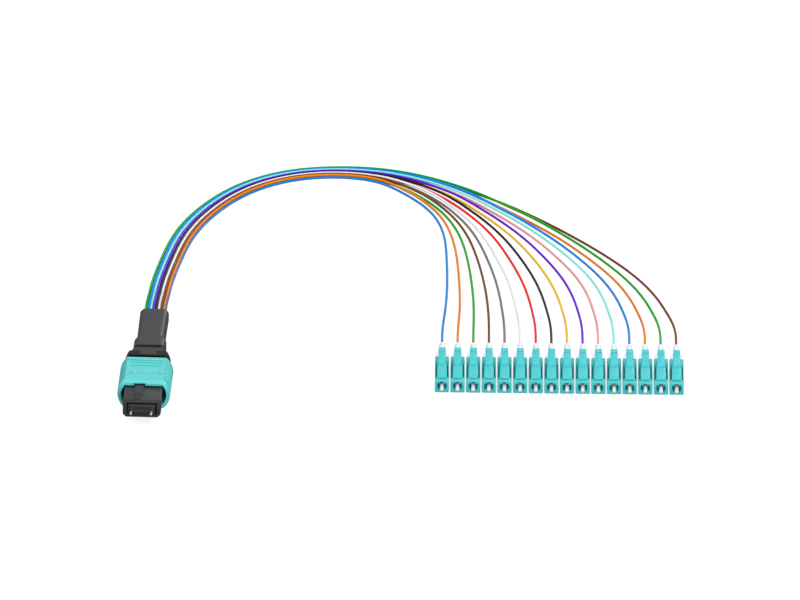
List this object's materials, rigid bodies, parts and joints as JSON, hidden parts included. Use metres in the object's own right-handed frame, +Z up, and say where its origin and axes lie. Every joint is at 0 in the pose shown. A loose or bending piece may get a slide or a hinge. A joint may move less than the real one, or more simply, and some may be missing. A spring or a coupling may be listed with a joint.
{
  "type": "fibre breakout cable",
  "caption": "Breakout cable: a flat multi-fibre plug with pull sleeve and boot, loose coloured fibres in a bend, and a row of small latched plugs.",
  "frame": {"origin": "middle of the flat plug's length and width, at the level of what the cable lies on", "axes": "+Y along the flat plug from its pin tips to its boot, +Z up, +X towards the row of small plugs"},
  "size_m": [0.1789, 0.2252, 0.0094],
  "materials": {
    "aqua_plastic": "satin, moulded",
    "black_plastic": "satin, moulded",
    "black_rubber": "matt",
    "white_plastic": "smooth",
    "pin_steel": "ground",
    "blue_buffer": "smooth",
    "orange_buffer": "smooth",
    "green_buffer": "smooth",
    "brown_buffer": "smooth",
    "slate_buffer": "smooth",
    "white_buffer": "smooth",
    "red_buffer": "smooth",
    "black_buffer": "smooth",
    "yellow_buffer": "smooth",
    "violet_buffer": "smooth",
    "rose_buffer": "smooth",
    "aqua_buffer": "smooth"
  },
  "bodies": {
    "cable": {"ferrule_block": "black_plastic", "guide_pin_left": "pin_steel", "guide_pin_right": "pin_steel", "plug_housing": "black_plastic", "rear_body": "black_plastic", "strain_relief_boot": "black_rubber", "fibre_01": "blue_buffer", "fibre_02": "orange_buffer", "fibre_03": "green_buffer", "fibre_04": "brown_buffer", "fibre_05": "slate_buffer", "fibre_06": "white_buffer", "fibre_07": "red_buffer", "fibre_08": "black_buffer", "fibre_09": "yellow_buffer", "fibre_10": "violet_buffer", "fibre_11": "rose_buffer", "fibre_12": "aqua_buffer", "fibre_13": "blue_buffer", "fibre_14": "orange_buffer", "fibre_15": "green_buffer", "fibre_16": "brown_buffer", "small_housing_01": "aqua_plastic", "small_housing_02": "aqua_plastic", "small_housing_03": "aqua_plastic", "small_housing_04": "aqua_plastic", "small_housing_05": "aqua_plastic", "small_housing_06": "aqua_plastic", "small_housing_07": "aqua_plastic", "small_housing_08": "aqua_plastic", "small_housing_09": "aqua_plastic", "small_housing_10": "aqua_plastic", "small_housing_11": "aqua_plastic", "small_housing_12": "aqua_plastic", "small_housing_13": "aqua_plastic", "small_housing_14": "aqua_plastic", "small_housing_15": "aqua_plastic", "small_housing_16": "aqua_plastic", "small_core_01": "white_plastic", "small_core_02": "white_plastic", "small_core_03": "white_plastic", "small_core_04": "white_plastic", "small_core_05": "white_plastic", "small_core_06": "white_plastic", "small_core_07": "white_plastic", "small_core_08": "white_plastic", "small_core_09": "white_plastic", "small_core_10": "white_plastic", "small_core_11": "white_plastic", "small_core_12": "white_plastic", "small_core_13": "white_plastic", "small_core_14": "white_plastic", "small_core_15": "white_plastic", "small_core_16": "white_plastic"},
    "sleeve": {"pull_sleeve": "aqua_plastic"}
  },
  "joints": [
    {"name": "sleeve_slide", "type": "slide", "parent": "cable", "child": "sleeve", "axis": [0, 1, 0], "range_m": [0, 0.0025], "stiffness_N_per_m": 300}
  ]
}
